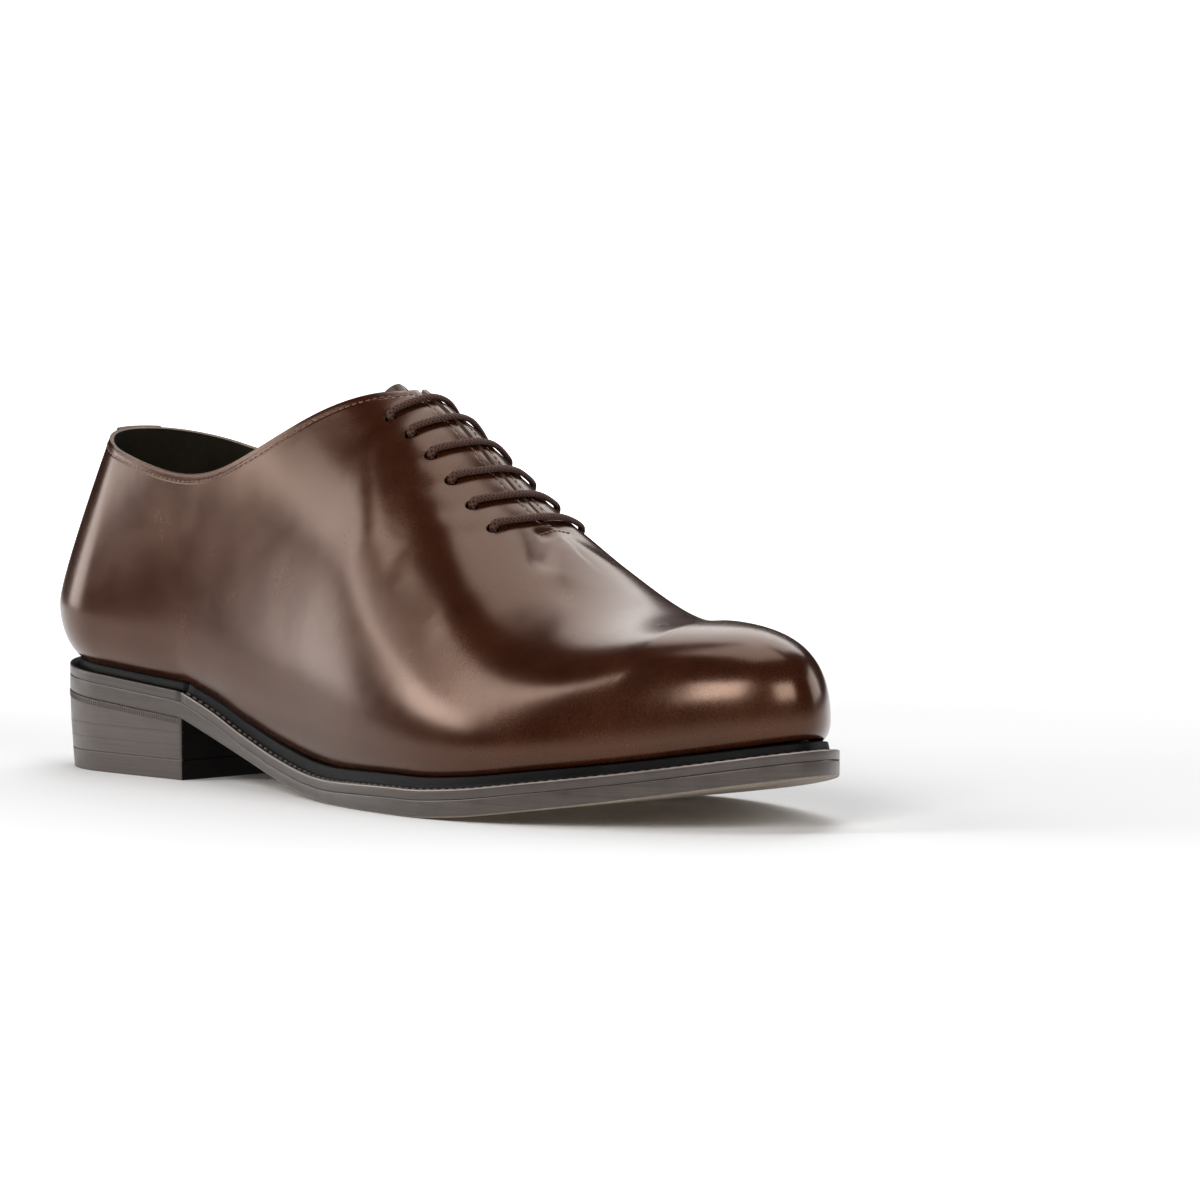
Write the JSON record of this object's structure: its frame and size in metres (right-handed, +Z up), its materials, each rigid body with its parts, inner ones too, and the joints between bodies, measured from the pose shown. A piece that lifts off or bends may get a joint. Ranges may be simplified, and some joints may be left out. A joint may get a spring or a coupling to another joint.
{
  "type": "whole cut oxford",
  "caption": "Right whole cut oxford shoe with hollow one-piece leather upper, welted leather sole and stacked heel",
  "frame": {"origin": "on the floor under the middle of the shoe's box", "axes": "+X to the toe along the sole, +Y to the inner (medial) side of this right shoe, +Z up"},
  "size_m": [0.3022, 0.104, 0.1153],
  "materials": {
    "upper_leather": "polished brown calf with soft darker and lighter patches",
    "backstrap_leather": "polished dark brown calf",
    "tongue_leather": "brown calf",
    "insole": "dark brown lining leather",
    "sole_leather": "grey brown burnished sole leather edge",
    "welt": "black waxed welt with a pale lip",
    "heel_leather": "grey brown burnished stacked leather",
    "heel_rubber": "smooth grey brown rubber top piece",
    "lace": "round braided waxed cotton cord"
  },
  "bodies": {
    "root": {"outsole": "sole_leather", "welt": "welt", "heel_seat_rand": "welt", "insole": "insole", "heel_top_piece": "heel_rubber", "heel_lift_1": "heel_leather", "heel_lift_2": "heel_leather", "heel_lift_3": "heel_leather", "upper": "upper_leather", "backstrap": "backstrap_leather", "tongue": "tongue_leather", "lace": "lace"}
  },
  "joints": []
}
